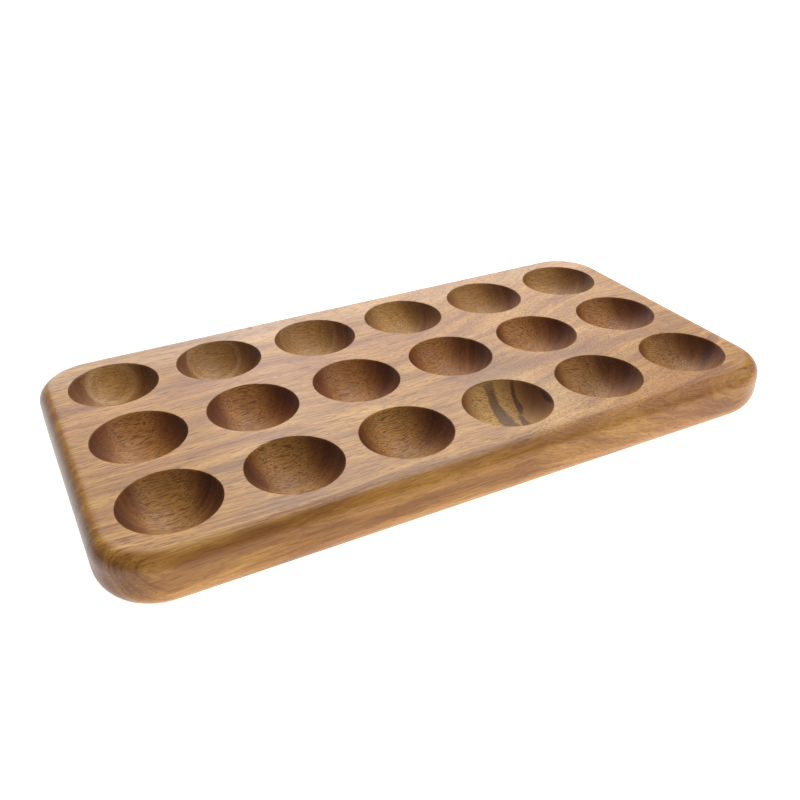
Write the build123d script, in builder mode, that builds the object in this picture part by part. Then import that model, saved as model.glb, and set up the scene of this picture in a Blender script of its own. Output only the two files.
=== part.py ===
"""Egg holder tray for eighteen eggs: a thick wooden board with three rows of six egg cups.

The board is edge-glued from three staves, one for each row of cups, and fluted dowels hidden
in the joints hold the staves in line. The origin is at the centre of the underside, +X runs
along the rows, -Y is the front edge and +Z is up. Lengths are in millimetres.
"""

import os

from build123d import *

# Driving dimensions of the board
ROWS = ("front", "middle", "back")
CUPS_PER_ROW = 6
CUP_PITCH = 49.0  # between the centres of neighbouring cups, along and across the board
EDGE_MARGIN = 32.0  # from the centres of the outer cups to the board's edges
THICKNESS = 25.0
CORNER_RADIUS = 24.5  # of the board's outline, seen from above
TOP_ROUND = 6.5  # where the top turns into the sides
UNDERSIDE_ROUND = 12.0  # larger than the top's, so that fingers get under the edge

# The cups, which are shallow bowls milled with a spherical cutter
CUP_MOUTH_RADIUS = 19.85
CUP_DEPTH = 13.0
CUP_RIM_ROUND = 0.25  # the sanded arris round each cup

# The dowels, each in the solid wood between four cups
DOWELS_PER_JOINT = CUPS_PER_ROW - 1
DOWEL_RADIUS = 4.0
DOWEL_LENGTH = 30.0
DOWEL_CHAMFER = 1.0
DOWEL_HEIGHT = THICKNESS / 2
FLUTES = 12
FLUTE_RADIUS = 0.35
GLUE_GAP = 0.05  # between a dowel and the wall of its hole
HOLE_SPARE = 1.0  # beyond each end of a dowel

# Sizes that follow
LENGTH = (CUPS_PER_ROW - 1) * CUP_PITCH + 2 * EDGE_MARGIN
WIDTH = (len(ROWS) - 1) * CUP_PITCH + 2 * EDGE_MARGIN
CUP_SPHERE_RADIUS = (CUP_MOUTH_RADIUS**2 + CUP_DEPTH**2) / (2 * CUP_DEPTH)
CUP_SPHERE_HEIGHT = THICKNESS - CUP_DEPTH + CUP_SPHERE_RADIUS
JOINT_Y = {"front": -CUP_PITCH / 2, "back": CUP_PITCH / 2}  # midway between the rows of cups
JOINTS_OF_ROW = {"front": ["front"], "middle": ["front", "back"], "back": ["back"]}
HOLE_LENGTH = DOWEL_LENGTH + 2 * HOLE_SPARE


def spaced(count):
    """Positions of a number of features at the cup pitch, centred on zero."""
    return [(number - (count - 1) / 2) * CUP_PITCH for number in range(count)]


def board_blank():
    """The whole board with its rounded edges, before it is bored."""
    with BuildPart() as blank:
        with BuildSketch():
            RectangleRounded(LENGTH, WIDTH, CORNER_RADIUS)
        extrude(amount=THICKNESS)
        fillet(blank.faces().sort_by(Axis.Z)[-1].edges(), TOP_ROUND)
        fillet(blank.faces().sort_by(Axis.Z)[0].edges(), UNDERSIDE_ROUND)
    return blank.part


def strips_of(blank):
    """The blank divided along its glue joints into one strip for each row, front first."""
    with BuildPart() as divided:
        add(blank)
        for y in JOINT_Y.values():
            split(bisect_by=Plane.XZ.offset(-y), keep=Keep.BOTH)
    return divided.solids().sort_by(Axis.Y)


def stave(row, strip):
    """A strip with its row of cups, and with its half of the dowel holes in each joint."""
    row_y = spaced(len(ROWS))[ROWS.index(row)]
    cups = [(x, row_y, CUP_SPHERE_HEIGHT) for x in spaced(CUPS_PER_ROW)]
    joints_y = [JOINT_Y[joint] for joint in JOINTS_OF_ROW[row]]
    holes = [(x, y, DOWEL_HEIGHT) for x in spaced(DOWELS_PER_JOINT) for y in joints_y]
    with BuildPart() as piece:
        add(strip)
        with Locations(*cups):
            Sphere(CUP_SPHERE_RADIUS, mode=Mode.SUBTRACT)
        top_face = piece.faces().filter_by(Plane.XY).sort_by(Axis.Z)[-1]
        rims = [wire.edges()[0] for wire in top_face.inner_wires()]
        fillet(rims, CUP_RIM_ROUND)
        with Locations(*holes):
            Cylinder(DOWEL_RADIUS + GLUE_GAP, HOLE_LENGTH, rotation=(90, 0, 0), mode=Mode.SUBTRACT)
    return piece.part


def dowel(x, joint):
    """A fluted hardwood dowel with chamfered ends, lying across a glue joint."""
    end = (x, JOINT_Y[joint] + DOWEL_LENGTH / 2, DOWEL_HEIGHT)
    with BuildPart() as pin:
        with BuildSketch(Plane(origin=end, x_dir=(1, 0, 0), z_dir=(0, -1, 0))) as section:
            Circle(DOWEL_RADIUS)
        extrude(amount=DOWEL_LENGTH)
        chamfer(pin.edges().filter_by(GeomType.CIRCLE), DOWEL_CHAMFER)
        with BuildSketch(section.workplanes[0]):
            with PolarLocations(DOWEL_RADIUS, FLUTES):
                Circle(FLUTE_RADIUS)
        extrude(amount=DOWEL_LENGTH, mode=Mode.SUBTRACT)
    return pin.part


def save(part, name):
    """Labels a finished piece and writes its STEP file."""
    part.label = name
    export_step(part, f"parts/{name}.step")


os.makedirs("parts", exist_ok=True)
for row_name, row_strip in zip(ROWS, strips_of(board_blank())):
    save(stave(row_name, row_strip), f"{row_name}_stave")
for joint_name in JOINT_Y:
    for dowel_number, dowel_x in enumerate(spaced(DOWELS_PER_JOINT), start=1):
        save(dowel(dowel_x, joint_name), f"{joint_name}_joint_dowel_{dowel_number}")
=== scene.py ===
"""Looks of the egg holder tray: staves of oiled, streaky acacia, and the dowels hidden inside them.

Sizes are in metres, except inside the materials, where places on the tray are in millimetres.
"""

import math

import bpy
from mathutils import Matrix, Vector


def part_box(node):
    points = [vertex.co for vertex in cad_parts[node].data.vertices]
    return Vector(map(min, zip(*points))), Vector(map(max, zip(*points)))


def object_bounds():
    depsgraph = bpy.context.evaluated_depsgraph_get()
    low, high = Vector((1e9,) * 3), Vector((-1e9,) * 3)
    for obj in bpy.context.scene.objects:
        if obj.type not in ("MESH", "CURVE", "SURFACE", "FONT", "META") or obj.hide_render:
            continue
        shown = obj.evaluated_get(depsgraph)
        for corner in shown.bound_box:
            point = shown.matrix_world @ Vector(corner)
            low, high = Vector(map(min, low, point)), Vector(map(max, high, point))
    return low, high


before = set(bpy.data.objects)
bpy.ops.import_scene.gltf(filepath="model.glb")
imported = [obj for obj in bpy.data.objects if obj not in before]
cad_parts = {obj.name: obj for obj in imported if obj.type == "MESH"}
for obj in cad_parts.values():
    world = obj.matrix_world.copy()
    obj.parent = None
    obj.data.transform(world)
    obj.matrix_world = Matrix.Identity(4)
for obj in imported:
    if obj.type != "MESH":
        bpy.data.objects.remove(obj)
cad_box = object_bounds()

MM = 0.001

# The board and its glue joints, in millimetres. Each row of cups is milled in a stave of its own
HALF_LENGTH, HALF_WIDTH, TOP = (size / MM for size in cad_box[1])
FRONT_JOINT, BACK_JOINT = (corner.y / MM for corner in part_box("middle_stave"))
CUP_BOTTOMS = 12.0

# The camera, by what it looks at
AIM = Vector((-0.006, -0.0066, 0.0125))
DISTANCE = 0.406
AZIMUTH = math.radians(-26.8)
ELEVATION = math.radians(30.6)
ROLL = math.radians(-0.9)
LENS_MM = 39.6
SENSOR_MM = 36.0

# Light from the white room, and the lit floor: its light, its paper's white, and its half width
WORLD_LIGHT = 0.21
FLOOR_LIGHT = 0.93
FLOOR_WHITE = 0.85
FLOOR_REACH = 8.0

# The softboxes: name, azimuth, elevation, distance, width, height, radiance
SOFTBOXES = (
    ("back_softbox", 0.0, 31.5, 1.3, 0.68, 1.13, 2.1),
    ("back_right_softbox", 30.0, 42.0, 1.3, 0.68, 0.6, 3.7),
    ("low_right_softbox", 36.0, 18.0, 1.3, 1.15, 0.46, 1.8),
    ("low_left_softbox", -38.0, 8.0, 1.3, 0.95, 0.34, 0.6),
    ("high_softbox", 54.0, 68.0, 1.3, 0.65, 0.65, 4.4),
    ("front_softbox", 113.0, 40.0, 1.3, 1.3, 0.75, 1.25),
)

# The centre of the tree, behind and under the board, so its growth layers slope up to the back
PITH_Y = 149.0
PITH_Z = -85.0

# The swirl in the front's left end, where the layers turn round the corner and show most
SWIRL_CENTRE = (-128.0, -79.0, 19.0)
SWIRL_REACH = (36.0, 24.0, 16.0)

# The grain's slant at the right-hand end: where it starts and ends, and its rise for each step in X
SLANT_START = 20.0
SLANT_END = 125.0
SLANT = 0.38

# The crotch figure, round the fourth cup of the front row: paler wood, crossed by dark stripes
CROTCH_CENTRE = (30.0, -48.0, 18.0)
CROTCH_REACH = (29.0, 29.0, 28.0)
STRIPES = (  # middle in X, lean in X for each step in Y, ends in Y, width
    (26.7, -0.03, -62.0, -30.0, 6.0),
    (35.4, 0.16, -46.5, -33.0, 2.0),
    (32.2, 0.10, -56.0, -47.0, 2.4),
    (44.6, 0.05, -60.0, -39.0, 3.4),
)
STRIPE_FADE = 3.0  # at each end, to either side of it
STRIPE_TAPER = 0.06  # how much a stripe's half width shrinks for each step in Y

# Clouds of darker wood: centre, and reach along X, Y and Z
CLOUDS = (
    ((-104.0, -82.0, 23.0), (15.0, 5.5, 3.6)),
    ((-122.0, -80.0, 17.0), (26.0, 12.0, 8.0)),
    ((-15.0, -82.0, 23.5), (10.0, 5.5, 2.8)),
    ((30.0, -82.0, 23.0), (13.0, 5.5, 3.4)),
    ((36.0, -22.0, 25.0), (24.0, 9.0, 12.0)),
    ((-60.0, 33.0, 25.0), (110.0, 3.5, 6.0)),
    ((100.0, -25.0, 25.0), (60.0, 5.0, 8.0)),
)

# A rosier stretch of wood between the middle row and the back row
ROSY_CENTRE = (-60.0, 27.0, 25.0)
ROSY_REACH = (120.0, 13.0, 12.0)

# The pale layer in the back row's cups: its distance from the centre of the tree at X 0, and how
# much that grows for each step in X
PALE_LAYER = 139.2
PALE_LAYER_LEAN = 0.024

# The depth of the pores and fibres in the surface, in metres
RELIEF = 0.05 * MM


class Graph:
    """A material's node tree, with a short call for each kind of node that the woods use."""

    def __init__(self, name):
        self.material = bpy.data.materials.new(name)
        self.material.use_nodes = True
        self.tree = self.material.node_tree
        self.shader = self.tree.nodes["Principled BSDF"]

    def node(self, kind, inputs, output=0, **settings):
        """Adds a node, sets or links its inputs, and returns one of its outputs."""
        made = self.tree.nodes.new(kind)
        for name, value in settings.items():
            setattr(made, name, value)
        for name, value in inputs.items():
            self.feed(made.inputs[name], value)
        return made.outputs[output]

    def feed(self, socket, value):
        """Links an output to a socket, or sets the socket to a constant."""
        if isinstance(value, bpy.types.NodeSocket):
            self.tree.links.new(value, socket)
        else:
            socket.default_value = value

    def math(self, operation, *values, clamp=False):
        return self.node(
            "ShaderNodeMath", dict(enumerate(values)), operation=operation, use_clamp=clamp
        )

    def add(self, *values):
        total = values[0]
        for value in values[1:]:
            total = self.math("ADD", total, value)
        return total

    def times(self, a, b):
        return self.math("MULTIPLY", a, b)

    def vector(self, operation, *values, output=0):
        return self.node(
            "ShaderNodeVectorMath", dict(enumerate(values)), output=output, operation=operation
        )

    def combine(self, x, y, z):
        return self.node("ShaderNodeCombineXYZ", {0: x, 1: y, 2: z})

    def separate(self, vector):
        """The X, Y and Z outputs of a vector."""
        parts = self.tree.nodes.new("ShaderNodeSeparateXYZ")
        self.feed(parts.inputs[0], vector)
        return parts.outputs[0], parts.outputs[1], parts.outputs[2]

    def noise(self, vector, detail=2.0, roughness=0.5, distortion=0.0, output="Fac"):
        """Noise with features about 1 unit across, from 0 to 1."""
        return self.node(
            "ShaderNodeTexNoise",
            {
                "Vector": vector,
                "Scale": 1.0,
                "Detail": detail,
                "Roughness": roughness,
                "Distortion": distortion,
            },
            output=output,
        )

    def smooth(self, value, low, high, start=0.0, end=1.0):
        """A smooth step from start to end as value goes from low to high."""
        return self.node(
            "ShaderNodeMapRange",
            {"Value": value, "From Min": low, "From Max": high, "To Min": start, "To Max": end},
            interpolation_type="SMOOTHSTEP",
        )

    def linear(self, value, low, high, start=0.0, end=1.0):
        """A straight, clamped change from start to end as value goes from low to high."""
        return self.node(
            "ShaderNodeMapRange",
            {"Value": value, "From Min": low, "From Max": high, "To Min": start, "To Max": end},
        )

    def mix(self, factor, a, b, blend="MIX"):
        """Colour a turning into colour b as the factor goes from 0 to 1."""
        return self.node(
            "ShaderNodeMix",
            {0: factor, 6: a, 7: b},
            output=2,
            data_type="RGBA",
            blend_type=blend,
        )

    def mix_values(self, factor, a, b):
        """Value a turning into value b as the factor goes from 0 to 1."""
        return self.node("ShaderNodeMix", {0: factor, 2: a, 3: b})

    def ramp(self, value, stops):
        """A colour for each value, between the stops (position, colour)."""
        made = self.tree.nodes.new("ShaderNodeValToRGB")
        made.color_ramp.interpolation = "B_SPLINE"
        elements = made.color_ramp.elements
        while len(elements) < len(stops):
            elements.new(0.5)
        for element, (position, colour) in zip(elements, stops):
            element.position = position
            element.color = colour
        self.feed(made.inputs[0], value)
        return made.outputs[0]


def rgb(red, green, blue):
    """A colour from its display values, 0 to 255, as the linear values that nodes take."""
    linear = []
    for value in (red, green, blue):
        share = value / 255
        low = share / 12.92
        high = ((share + 0.055) / 1.055) ** 2.4
        linear.append(low if share <= 0.04045 else high)
    return (*linear, 1.0)


# The acacia's own colours, from its darkest growth layers to its palest, and the pale colour of a
# painted sheen along the back edge
LAYER_COLOURS = (
    (0.0, rgb(134, 83, 37)),
    (0.35, rgb(180, 124, 55)),
    (0.65, rgb(204, 149, 72)),
    (1.0, rgb(225, 174, 94)),
)
ROSY_WOOD = rgb(188, 120, 84)
CLOUD_WOOD = rgb(126, 74, 36)
PAINTED_BACK_SHEEN = rgb(228, 192, 158)
GOLDEN_WOOD = rgb(214, 168, 98)
PALE_LAYER_WOOD = rgb(228, 186, 126)
CROTCH_WOOD = rgb(246, 210, 138)
CROTCH_STRIPE = rgb(98, 68, 50)

# Its pores
LINE_PORES = rgb(108, 63, 33)
SPECK_PORES = rgb(110, 67, 36)
WAVY_PORES = rgb(94, 54, 25)
CROTCH_PORES = rgb(104, 68, 36)

# What the oil does to it, as tints that it is multiplied by; the milled ends' tint is also painted
# shade on the cups' walls
END_TINT = rgb(104, 48, 34)
MILLED_END_TINT_AND_SHADE = rgb(150, 60, 30)
FRONT_CUPS_TINT = rgb(232, 204, 156)
MIDDLE_CUPS_TINT = rgb(240, 186, 136)


def place_in_mm(graph):
    """A point's place in the tray's frame, in millimetres."""
    coordinates = graph.node("ShaderNodeTexCoord", {}, output="Object")
    return graph.vector("MULTIPLY", coordinates, (1 / MM,) * 3)


def stretched(graph, place, length, width):
    """Coordinates for noise whose features are that long along the grain and that wide across."""
    return graph.vector("MULTIPLY", place, (1 / length, 1 / width, 1 / width))


def wander(graph, place, length, width, reach, detail=1.0):
    """How far the grain is carried sideways, as a vector across X of up to reach each way."""
    field = graph.noise(stretched(graph, place, length, width), detail=detail, output="Color")
    centred = graph.vector("SUBTRACT", field, (0.5, 0.5, 0.5))
    return graph.vector("MULTIPLY", centred, (0.0, 2 * reach, 2 * reach))


def grain_cut(graph):
    """How squarely the surface cuts the fibres: 0 along the grain, 1 on an end of the board."""
    normal = graph.node("ShaderNodeNewGeometry", {}, output="Normal")
    return graph.math("ABSOLUTE", graph.separate(normal)[0])


def near(graph, place, centre, reach):
    """From 1 at a centre, falling to 0 over an ellipsoid's reach along X, Y and Z."""
    offset = graph.vector("SUBTRACT", place, centre)
    scaled = graph.vector("DIVIDE", offset, reach)
    squared = graph.vector("DOT_PRODUCT", scaled, scaled, output="Value")
    return graph.math("EXPONENT", graph.times(squared, -1.0))


def from_pith(graph, place):
    """The distance of a point from the centre of the tree."""
    y, z = graph.separate(place)[1:]
    across = graph.combine(
        0.0, graph.math("SUBTRACT", y, PITH_Y), graph.math("SUBTRACT", z, PITH_Z)
    )
    return graph.vector("LENGTH", across, output="Value")


def clouds(graph, place):
    """Where the wood is darker in soft, uneven clouds: 0 to 1."""
    share = graph.add(*(near(graph, place, centre, reach) for centre, reach in CLOUDS))
    uneven = graph.noise(stretched(graph, place, 16.0, 5.0), detail=3.0, roughness=0.6)
    return graph.smooth(graph.times(share, graph.add(uneven, uneven, -0.1)), 0.15, 0.85)


def stripe(graph, x, y, middle, lean, y_low, y_high, width):
    """A dark stripe nearly along Y, narrower at its back end: 1 on its line, and 0 beside it."""
    from_middle = graph.math("SUBTRACT", y, 0.5 * (y_low + y_high))
    line = graph.add(middle, graph.times(from_middle, lean))
    aside = graph.math("ABSOLUTE", graph.math("SUBTRACT", x, line))
    aside = graph.add(aside, graph.times(from_middle, STRIPE_TAPER))
    across = graph.smooth(aside, 0.38 * width, 0.62 * width, 1.0, 0.0)
    start = graph.smooth(y, y_low - STRIPE_FADE, y_low + STRIPE_FADE)
    end = graph.smooth(y, y_high - STRIPE_FADE, y_high + STRIPE_FADE, 1.0, 0.0)
    return graph.times(across, graph.times(start, end))


def crotch_stripes(graph, place):
    """The wavering dark stripes of the crotch figure: 0 to 1."""
    x, y = graph.separate(place)[:2]
    waver = graph.noise(stretched(graph, place, 7.0, 7.0), detail=4.0, roughness=0.65)
    x = graph.add(x, graph.times(graph.math("SUBTRACT", waver, 0.5), 4.0))
    darkest = 0.0
    for shape in STRIPES:
        darkest = graph.math("MAXIMUM", darkest, stripe(graph, x, y, *shape))
    return darkest


def in_cups(graph, x, y, z):
    """1 on the walls of the cups, and 0 on the board's outside."""
    under_top = graph.smooth(z, TOP - 0.1, TOP - 1.0)
    over_bottom = graph.smooth(z, CUP_BOTTOMS - 3.0, CUP_BOTTOMS - 1.0)
    depth = graph.times(under_top, over_bottom)
    from_ends = graph.math("ABSOLUTE", x)
    from_ends = graph.smooth(from_ends, HALF_LENGTH - 6.5, HALF_LENGTH - 10.5)
    from_sides = graph.math("ABSOLUTE", y)
    from_sides = graph.smooth(from_sides, HALF_WIDTH - 8.0, HALF_WIDTH - 11.5)
    return graph.times(depth, graph.times(from_ends, from_sides))


def along_the_grain(graph, place, x):
    """Coordinates that follow the grain, which wanders, curls, and slants at the right-hand end."""
    drift = wander(graph, place, length=110.0, width=40.0, reach=5.0)
    curl = wander(graph, place, length=24.0, width=12.0, reach=3.2, detail=2.0)
    curled = graph.smooth(x, -110.0, 20.0, start=0.25)
    curl = graph.node(
        "ShaderNodeVectorMath", {"Vector": curl, "Scale": curled}, operation="SCALE"
    )
    rise = graph.linear(x, SLANT_START, SLANT_END, end=SLANT * (SLANT_END - SLANT_START))
    slant = graph.combine(0.0, 0.0, rise)
    return graph.vector("ADD", graph.vector("ADD", place, drift), graph.vector("ADD", curl, slant))


def layer_noise(graph, grain, length, thickness, place_in_noise, **settings):
    """Noise that is even within a growth layer and changes from one layer to the next."""
    along = graph.times(graph.separate(grain)[0], 1 / length)
    across = graph.times(from_pith(graph, grain), 1 / thickness)
    return graph.noise(graph.combine(along, across, place_in_noise), **settings)


def growth_layers(graph, place, grain, fibres):
    """The colour by growth layer: broad bands, and finer rings that show most in the swirl."""
    bands = layer_noise(graph, grain, 50.0, 6.5, 12.0, detail=1.5)
    rings = layer_noise(graph, grain, 60.0, 1.5, 3.0, detail=2.0, roughness=0.6)
    rings = graph.math("SUBTRACT", rings, 0.5)
    swirl = near(graph, place, SWIRL_CENTRE, SWIRL_REACH)
    tone = graph.add(
        0.12,
        graph.times(bands, 0.42),
        graph.times(rings, graph.add(0.2, graph.times(swirl, 0.6))),
        graph.times(fibres, 0.3),
    )
    return graph.ramp(graph.linear(tone, 0.36, 0.66), LAYER_COLOURS)


def slow_changes(graph, colour, place, y, milled):
    """The colour with its blushes, the rosier stretch, the dark clouds, and a painted sheen that
    pales the back edge.
    """
    blush = graph.noise(stretched(graph, place, 60.0, 14.0), detail=1.0)
    rosy = graph.times(near(graph, place, ROSY_CENTRE, ROSY_REACH), 0.32)
    rosy = graph.add(graph.smooth(blush, 0.5, 0.75, end=0.22), rosy)
    colour = graph.mix(rosy, colour, ROSY_WOOD)
    colour = graph.mix(graph.times(clouds(graph, place), 0.5), colour, CLOUD_WOOD)
    outside = graph.math("SUBTRACT", 1.0, milled)
    # Painted sheen: the board's outside turns paler towards the back, standing in for the stronger
    # reflection of the lights there
    painted_back_sheen = graph.times(graph.smooth(y, 50.0, 64.0, end=0.3), outside)
    return graph.mix(painted_back_sheen, colour, PAINTED_BACK_SHEEN)


def past_pale_layer(graph, place, x, fibres):
    """How far a point lies outside the pale layer, with an edge that the fibres make uneven."""
    pale_layer = graph.add(PALE_LAYER, graph.times(x, PALE_LAYER_LEAN))
    past = graph.math("SUBTRACT", from_pith(graph, place), pale_layer)
    return graph.add(past, graph.times(graph.math("SUBTRACT", fibres, 0.5), 1.2))


def pale_rings(graph, x, past, back_row):
    """The pale layer, which the back row's cups cut as rings, fainter to the right: 0 to 0.6."""
    pale = graph.smooth(graph.math("ABSOLUTE", past), 0.2, 1.2, 0.6, 0.0)
    return graph.times(pale, graph.times(back_row, graph.smooth(x, -30.0, 30.0, 1.0, 0.4)))


def long_grain(graph, cut, past, milled, back_row):
    """Where a cup shows long grain: away from its ends or, in the back row, inside its pale ring."""
    uncut = graph.smooth(cut, 0.38, 0.55, 1.0, 0.0)
    inside = graph.smooth(past, -0.5, 0.5, 1.0, 0.0)
    return graph.times(graph.mix_values(back_row, uncut, inside), milled)


def pores(graph, place, grain, y, z, milled, long):
    """Pores, cut open along the grain: lines, most on the top, specks, and wavy ones in the cups."""
    ripple = wander(graph, place, length=8.0, width=5.0, reach=1.1)
    rippled = graph.vector("ADD", grain, ripple)
    lines = graph.noise(stretched(graph, grain, 11.0, 0.5), detail=1.5)
    lines = graph.smooth(lines, 0.57, 0.64)
    lines = graph.times(lines, graph.smooth(z, TOP - 1.0, TOP - 0.1, 0.35, 0.7))
    specks = graph.noise(stretched(graph, grain, 3.2, 0.36), detail=1.0, roughness=0.4)
    specks = graph.smooth(specks, 0.58, 0.70)
    wavy = graph.noise(stretched(graph, rippled, 6.0, 0.42), detail=1.5)
    wavy = graph.smooth(wavy, 0.50, 0.62)
    wavy = graph.times(wavy, graph.add(graph.times(milled, 0.35), graph.times(long, 0.65)))
    wavy = graph.times(wavy, graph.smooth(y, BACK_JOINT - 0.5, BACK_JOINT + 19.5, 1.0, 0.6))
    return lines, specks, wavy


def crotch_figure(graph, colour, place, milled, wavy):
    """The colour with the crotch figure, faint on the board's outside and strong in the cup."""
    pale = graph.smooth(near(graph, place, CROTCH_CENTRE, CROTCH_REACH), 0.25, 0.7)
    pale = graph.times(pale, graph.add(0.12, graph.times(milled, 0.43)))
    stripes = crotch_stripes(graph, place)
    stripes = graph.times(stripes, graph.add(0.2, graph.times(milled, 0.58)))
    colour = graph.mix(pale, colour, CROTCH_WOOD)
    colour = graph.mix(graph.times(pale, wavy), colour, CROTCH_PORES)
    return graph.mix(stripes, colour, CROTCH_STRIPE)


def oiled(graph, colour, y, cut, milled, back_row):
    """The colour after oil, which the cut ends of the fibres and the milled cups drink most of, with
    painted shade on the cups' end-grain walls.
    """
    ends = graph.smooth(cut, 0.2, 0.95)
    colour = graph.mix(graph.times(ends, 0.7), colour, END_TINT, blend="MULTIPLY")
    middle = graph.smooth(y, FRONT_JOINT - 2.5, FRONT_JOINT + 2.5)
    tint = graph.mix(middle, FRONT_CUPS_TINT, MIDDLE_CUPS_TINT)
    other_rows = graph.times(graph.math("SUBTRACT", milled, back_row), 0.4)
    colour = graph.mix(other_rows, colour, tint, blend="MULTIPLY")
    # Painted shade: the cups' end-grain walls are darkened past what the oil does, more in the front
    # and middle rows than in the back row
    by_row = graph.smooth(y, BACK_JOINT - 4.5, BACK_JOINT + 5.5, 0.6, 0.35)
    milled_ends_and_shade = graph.times(graph.times(ends, milled), by_row)
    return graph.mix(milled_ends_and_shade, colour, MILLED_END_TINT_AND_SHADE, blend="MULTIPLY")


def emboss(graph, height, strength):
    """Gives the surface a fine relief."""
    relief = {"Strength": strength, "Distance": RELIEF, "Height": height}
    graph.feed(graph.shader.inputs["Normal"], graph.node("ShaderNodeBump", relief))


def acacia():
    """Oiled acacia: golden brown growth layers, crotch figure and dark pores."""
    graph = Graph("oiled_acacia")
    place = place_in_mm(graph)
    x, y, z = graph.separate(place)
    grain = along_the_grain(graph, place, x)
    cut = grain_cut(graph)
    fibres = graph.noise(stretched(graph, grain, 24.0, 0.85), detail=3.0, roughness=0.65)

    # The cups are milled, not sanded: golden where they show long grain, and browner elsewhere
    milled = in_cups(graph, x, y, z)
    back_row = graph.times(milled, graph.smooth(y, BACK_JOINT - 0.5, BACK_JOINT + 5.5))
    past = past_pale_layer(graph, place, x, fibres)
    long = long_grain(graph, cut, past, milled, back_row)
    lines, specks, wavy = pores(graph, place, grain, y, z, milled, long)

    colour = growth_layers(graph, place, grain, fibres)
    colour = slow_changes(graph, colour, place, y, milled)
    colour = graph.mix(graph.times(long, 0.4), colour, GOLDEN_WOOD)
    colour = graph.mix(pale_rings(graph, x, past, back_row), colour, PALE_LAYER_WOOD)
    colour = graph.mix(lines, colour, LINE_PORES)
    colour = graph.mix(graph.times(specks, 0.4), colour, SPECK_PORES)
    colour = graph.mix(graph.times(wavy, 0.68), colour, WAVY_PORES)
    colour = crotch_figure(graph, colour, place, milled, wavy)
    colour = oiled(graph, colour, y, cut, milled, back_row)
    graph.feed(graph.shader.inputs["Base Color"], colour)

    uneven = graph.add(graph.times(fibres, 0.05), graph.times(specks, 0.15))
    roughness = graph.add(0.28, uneven, graph.times(milled, 0.15))
    graph.feed(graph.shader.inputs["Roughness"], roughness)
    graph.feed(graph.shader.inputs["Specular IOR Level"], 0.38)
    height = graph.math("SUBTRACT", graph.times(fibres, 0.3), graph.add(specks, wavy))
    emboss(graph, height, strength=0.35)
    return graph.material


def dowel_wood():
    """Plain pale hardwood, with its grain along Y, the length of a dowel."""
    graph = Graph("dowel_hardwood")
    place = place_in_mm(graph)
    along_y = graph.vector("MULTIPLY", place, (1 / 0.6, 1 / 9.0, 1 / 0.6))
    fibres = graph.noise(along_y, detail=3.0, roughness=0.6)
    flecks = graph.noise(graph.vector("MULTIPLY", place, (1 / 0.35, 1 / 2.2, 1 / 0.35)))
    flecks = graph.smooth(flecks, 0.6, 0.72)
    colour = graph.mix(fibres, rgb(176, 136, 98), rgb(216, 182, 142))
    colour = graph.mix(graph.times(flecks, 0.5), colour, rgb(138, 98, 68))
    graph.feed(graph.shader.inputs["Base Color"], colour)
    graph.feed(graph.shader.inputs["Roughness"], graph.add(0.55, graph.times(fibres, 0.1)))
    emboss(graph, fibres, strength=0.4)
    return graph.material


def dress(node_name, material):
    """Gives a CAD node its material."""
    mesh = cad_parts[node_name].data
    mesh.materials.clear()
    mesh.materials.append(material)


def floor():
    """A plain, pale floor that reaches past every edge of the picture."""
    mesh = bpy.data.meshes.new("floor")
    signs = ((-1, -1), (1, -1), (1, 1), (-1, 1))
    corners = [(FLOOR_REACH * side_x, FLOOR_REACH * side_y, 0) for side_x, side_y in signs]
    mesh.from_pydata(corners, [], [(0, 1, 2, 3)])
    graph = Graph("floor_paper")
    graph.shader.inputs["Base Color"].default_value = (FLOOR_WHITE, FLOOR_WHITE, FLOOR_WHITE, 1.0)
    graph.shader.inputs["Roughness"].default_value = 1.0
    graph.shader.inputs["Emission Color"].default_value = (1.0, 1.0, 1.0, 1.0)
    graph.shader.inputs["Emission Strength"].default_value = FLOOR_LIGHT
    mesh.materials.append(graph.material)
    made = bpy.data.objects.new("floor", mesh)
    bpy.context.scene.collection.objects.link(made)


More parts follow.
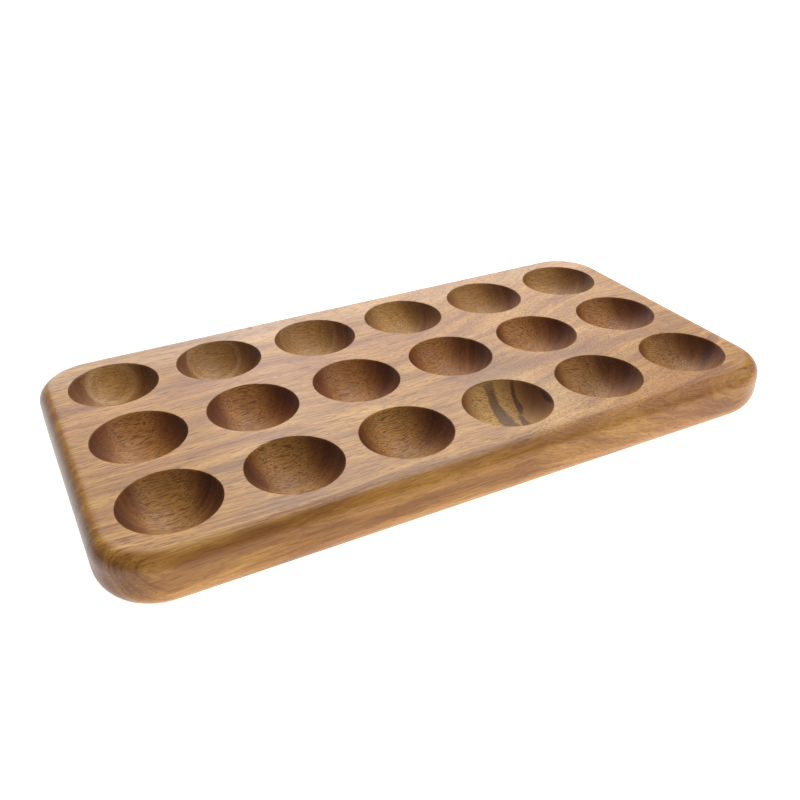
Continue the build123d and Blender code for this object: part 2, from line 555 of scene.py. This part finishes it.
def area_light(name, azimuth, elevation, distance, width, height, radiance):
    """A softbox that faces the tray. Azimuth 0 is behind the tray, and 90 to its right."""
    turn, rise = math.radians(azimuth), math.radians(elevation)
    towards = Vector(
        (math.sin(turn) * math.cos(rise), math.cos(turn) * math.cos(rise), math.sin(rise))
    )
    data = bpy.data.lights.new(name, "AREA")
    data.shape = "RECTANGLE"
    data.size = width
    data.size_y = height
    data.energy = radiance * math.pi * width * height
    lamp = bpy.data.objects.new(name, data)
    lamp.location = towards * distance
    lamp.rotation_mode = "QUATERNION"
    lamp.rotation_quaternion = (-towards).to_track_quat("-Z", "Y")
    bpy.context.scene.collection.objects.link(lamp)


def surroundings():
    """A room that looks white past the floor, and gives even, weaker light from all round."""
    world = bpy.data.worlds.new("studio")
    world.use_nodes = True
    tree = world.node_tree
    background = tree.nodes["Background"]
    background.inputs["Color"].default_value = (1.0, 1.0, 1.0, 1.0)
    path = tree.nodes.new("ShaderNodeLightPath")
    strength = tree.nodes.new("ShaderNodeMapRange")
    strength.inputs["To Min"].default_value = WORLD_LIGHT
    strength.inputs["To Max"].default_value = 1.0
    tree.links.new(path.outputs["Is Camera Ray"], strength.inputs["Value"])
    tree.links.new(strength.outputs[0], background.inputs["Strength"])
    bpy.context.scene.world = world


def camera():
    """The camera, turned about what it looks at."""
    back = Vector(
        (
            math.sin(AZIMUTH) * math.cos(ELEVATION),
            -math.cos(AZIMUTH) * math.cos(ELEVATION),
            math.sin(ELEVATION),
        )
    )
    data = bpy.data.cameras.new("camera")
    data.lens = LENS_MM
    data.sensor_width = SENSOR_MM
    data.clip_start = 0.01
    made = bpy.data.objects.new("camera", data)
    turn = (-back).to_track_quat("-Z", "Y").to_matrix().to_4x4()
    made.matrix_world = (
        Matrix.Translation(AIM + back * DISTANCE) @ turn @ Matrix.Rotation(ROLL, 4, "Z")
    )
    bpy.context.scene.collection.objects.link(made)
    bpy.context.scene.camera = made


camera()
floor()
surroundings()
for softbox in SOFTBOXES:
    area_light(*softbox)

wood = acacia()
pins = dowel_wood()
for node_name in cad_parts:
    dress(node_name, pins if "dowel" in node_name else wood)

bpy.context.scene.view_settings.view_transform = "Standard"
